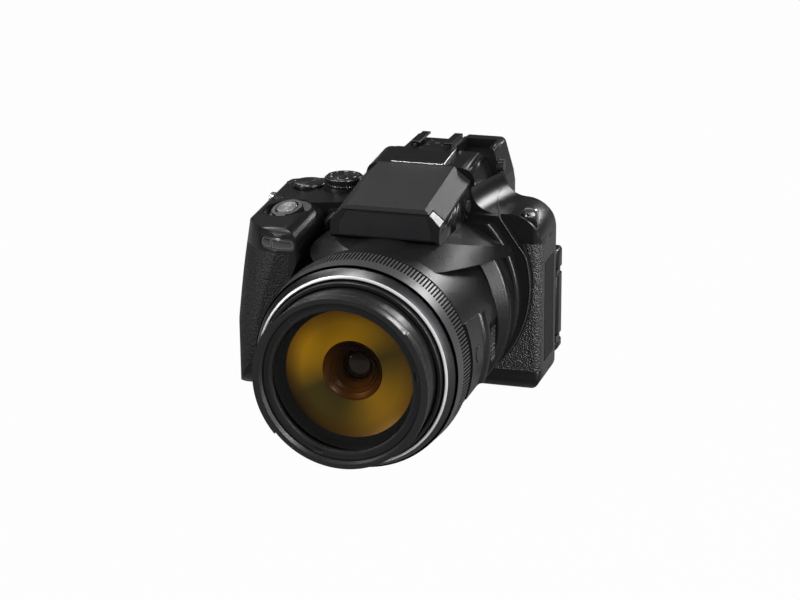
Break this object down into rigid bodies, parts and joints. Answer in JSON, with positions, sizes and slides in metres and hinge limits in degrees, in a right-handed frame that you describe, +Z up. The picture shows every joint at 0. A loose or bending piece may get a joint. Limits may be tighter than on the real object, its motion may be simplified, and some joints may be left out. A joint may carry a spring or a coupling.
{
  "type": "bridge camera",
  "caption": "Superzoom bridge camera with nested extending lens barrels, ribbed control ring, deep grip, pop-up flash hump with accessory shoe, eyecup and side-hinged screen",
  "frame": {"origin": "mouth of the tripod socket, on the base plane", "axes": "+Z up, the lens looks along -Y, +X is to the right of someone facing the lens (the grip is on the -X side)"},
  "size_m": [0.1474, 0.1813, 0.1264],
  "materials": {
    "cover_plastic": "moulded, fine satin grain",
    "leatherette": "grained rubber skin",
    "barrel_black": "black satin coat",
    "ring_rubber": "ribbed",
    "satin_metal": "satin",
    "base_metal": "black satin",
    "steel": "satin",
    "contacts": "plated",
    "coated_glass": "amber coating",
    "clear_glass": "polished",
    "display": "glossy",
    "lamp_window": "smoked",
    "controls": "satin",
    "shutter": "satin grey",
    "sensor": "filter glass on a carrier",
    "board": "solder mask",
    "battery_case": "moulded",
    "sockets": "moulded",
    "motor": "drawn can"
  },
  "bodies": {
    "body": {"front_cover": "cover_plastic", "grip_body": "cover_plastic", "rear_cover": "cover_plastic", "top_cover": "cover_plastic", "base_plate": "base_metal", "tripod_bushing": "steel", "lens_housing": "barrel_black", "lens_bezel": "satin_metal", "grip_rubber": "leatherette", "side_rubber": "leatherette", "viewfinder_housing": "cover_plastic", "front_plate": "cover_plastic", "accessory_shoe": "steel", "shoe_contacts": "contacts", "eyecup": "leatherette", "eyepiece_lens": "clear_glass", "evf_display": "display", "strap_lugs": "steel", "af_lamp_window": "lamp_window", "image_sensor": "sensor", "main_board": "board", "battery": "battery_case", "memory_card": "battery_case", "connector_sockets": "sockets", "zoom_motor": "motor", "cover_screws": "steel", "thumb_rest": "leatherette"},
    "ring": {"control_ring": "ring_rubber"},
    "mid_lens": {"mid_barrel": "barrel_black"},
    "front_lens_group": {"front_barrel": "barrel_black", "filter_ring": "barrel_black", "front_lens": "coated_glass", "inner_lens_cell": "barrel_black"},
    "lever": {"zoom_lever": "controls"},
    "shutter": {"shutter_button": "shutter"},
    "power": {"power_button": "controls"},
    "fn": {"fn_button": "controls"},
    "mode": {"mode_dial": "controls"},
    "command": {"command_dial": "controls"},
    "flash": {"flash_head": "cover_plastic", "flash_window": "clear_glass"},
    "flash_release": {"flash_button": "controls"},
    "diopter": {"diopter_knob": "controls"},
    "screen": {"monitor_arm": "cover_plastic", "monitor_panel": "cover_plastic", "monitor_screen": "display"},
    "rocker": {"side_zoom_rocker": "controls"},
    "snap_back": {"snap_back_button": "controls"},
    "port_cover": {"connector_cover": "leatherette"},
    "door": {"battery_door": "cover_plastic"},
    "selector": {"selector_dial": "controls"},
    "ok": {"ok_button": "controls"},
    "movie": {"movie_button": "controls"},
    "display_key": {"display_button": "controls"},
    "viewfinder_key": {"viewfinder_button": "controls"},
    "focus_mode": {"focus_lever": "controls"},
    "lock": {"lock_button": "controls"},
    "play": {"play_button": "controls"},
    "menu": {"menu_button": "controls"},
    "delete": {"delete_button": "controls"}
  },
  "joints": [
    {"name": "control_ring_turn", "type": "hinge", "parent": "body", "child": "ring", "pos_m": [0, -0.1, 0.042], "axis": [0, 1, 0], "continuous": true},
    {"name": "zoom_out", "type": "slide", "parent": "body", "child": "mid_lens", "axis": [0, -1, 0], "range_m": [0, 0.075]},
    {"name": "zoom_out_front", "type": "slide", "parent": "mid_lens", "child": "front_lens_group", "axis": [0, -1, 0], "range_m": [0, 0.072]},
    {"name": "zoom_lever_turn", "type": "hinge", "parent": "body", "child": "lever", "pos_m": [-0.064, -0.018, 0.0864], "axis": [-0.1518, -0.2419, 0.9584], "range_deg": [-20, 20], "stiffness_Nm_per_rad": 0.03},
    {"name": "shutter_press", "type": "slide", "parent": "body", "child": "shutter", "axis": [0.1518, 0.2419, -0.9584], "range_m": [0, 0.0007], "stiffness_N_per_m": 900},
    {"name": "power_press", "type": "slide", "parent": "body", "child": "power", "axis": [0, 0, -1], "range_m": [0, 0.0006], "stiffness_N_per_m": 900},
    {"name": "fn_press", "type": "slide", "parent": "body", "child": "fn", "axis": [0, 0, -1], "range_m": [0, 0.0006], "stiffness_N_per_m": 900},
    {"name": "mode_dial_turn", "type": "hinge", "parent": "body", "child": "mode", "pos_m": [-0.0443, 0.012, 0.0942], "axis": [0, 0, 1], "continuous": true},
    {"name": "command_dial_turn", "type": "hinge", "parent": "body", "child": "command", "pos_m": [-0.0642, 0.016, 0.0904], "axis": [0, 0, 1], "continuous": true},
    {"name": "flash_pop", "type": "hinge", "parent": "body", "child": "flash", "pos_m": [0, -0.0081, 0.11336], "axis": [-1, 0, 0], "range_deg": [0, 45]},
    {"name": "flash_release_press", "type": "slide", "parent": "body", "child": "flash_release", "axis": [-0.9952, 0.0976, 0], "range_m": [0, 0.0006], "stiffness_N_per_m": 900},
    {"name": "diopter_turn", "type": "hinge", "parent": "body", "child": "diopter", "pos_m": [0.0352, 0.02, 0.1078], "axis": [1, 0, 0], "continuous": true},
    {"name": "screen_swing", "type": "hinge", "parent": "body", "child": "screen", "pos_m": [0.0591, 0.0285, 0.0365], "axis": [0, 0, -1], "range_deg": [0, 175]},
    {"name": "side_zoom_move", "type": "slide", "parent": "body", "child": "rocker", "axis": [0, 0, 1], "range_m": [-0.0015, 0.0015], "stiffness_N_per_m": 300},
    {"name": "snap_back_press", "type": "slide", "parent": "body", "child": "snap_back", "axis": [-1, 0, 0], "range_m": [0, 0.0006], "stiffness_N_per_m": 900},
    {"name": "port_cover_open", "type": "hinge", "parent": "body", "child": "port_cover", "pos_m": [0.06295, -0.0026, 0.041], "axis": [0, 0, -1], "range_deg": [0, 100]},
    {"name": "door_open", "type": "hinge", "parent": "body", "child": "door", "pos_m": [-0.059, -0.014, 0.00145], "axis": [0, -1, 0], "range_deg": [0, 100]},
    {"name": "selector_turn", "type": "hinge", "parent": "body", "child": "selector", "pos_m": [-0.05, 0.027, 0.034], "axis": [0, 1, 0], "continuous": true},
    {"name": "ok_press", "type": "slide", "parent": "body", "child": "ok", "axis": [0, -1, 0], "range_m": [0, 0.0006], "stiffness_N_per_m": 900},
    {"name": "movie_press", "type": "slide", "parent": "body", "child": "movie", "axis": [0, -1, 0], "range_m": [0, 0.0006], "stiffness_N_per_m": 900},
    {"name": "display_press", "type": "slide", "parent": "body", "child": "display_key", "axis": [0, -1, 0], "range_m": [0, 0.0006], "stiffness_N_per_m": 900},
    {"name": "viewfinder_press", "type": "slide", "parent": "body", "child": "viewfinder_key", "axis": [0, -1, 0], "range_m": [0, 0.0006], "stiffness_N_per_m": 900},
    {"name": "lock_press", "type": "slide", "parent": "body", "child": "lock", "axis": [0, -1, 0], "range_m": [0, 0.0006], "stiffness_N_per_m": 900},
    {"name": "play_press", "type": "slide", "parent": "body", "child": "play", "axis": [0, -1, 0], "range_m": [0, 0.0006], "stiffness_N_per_m": 900},
    {"name": "menu_press", "type": "slide", "parent": "body", "child": "menu", "axis": [0, -1, 0], "range_m": [0, 0.0006], "stiffness_N_per_m": 900},
    {"name": "delete_press", "type": "slide", "parent": "body", "child": "delete", "axis": [0, -1, 0], "range_m": [0, 0.0006], "stiffness_N_per_m": 900},
    {"name": "focus_mode_turn", "type": "hinge", "parent": "body", "child": "focus_mode", "pos_m": [-0.059, 0.027, 0.064], "axis": [0, 1, 0], "range_deg": [-15, 15]}
  ],
  "couplings": [
    {"joint": "zoom_out_front", "follows": "zoom_out", "ratio": 0.96}
  ]
}
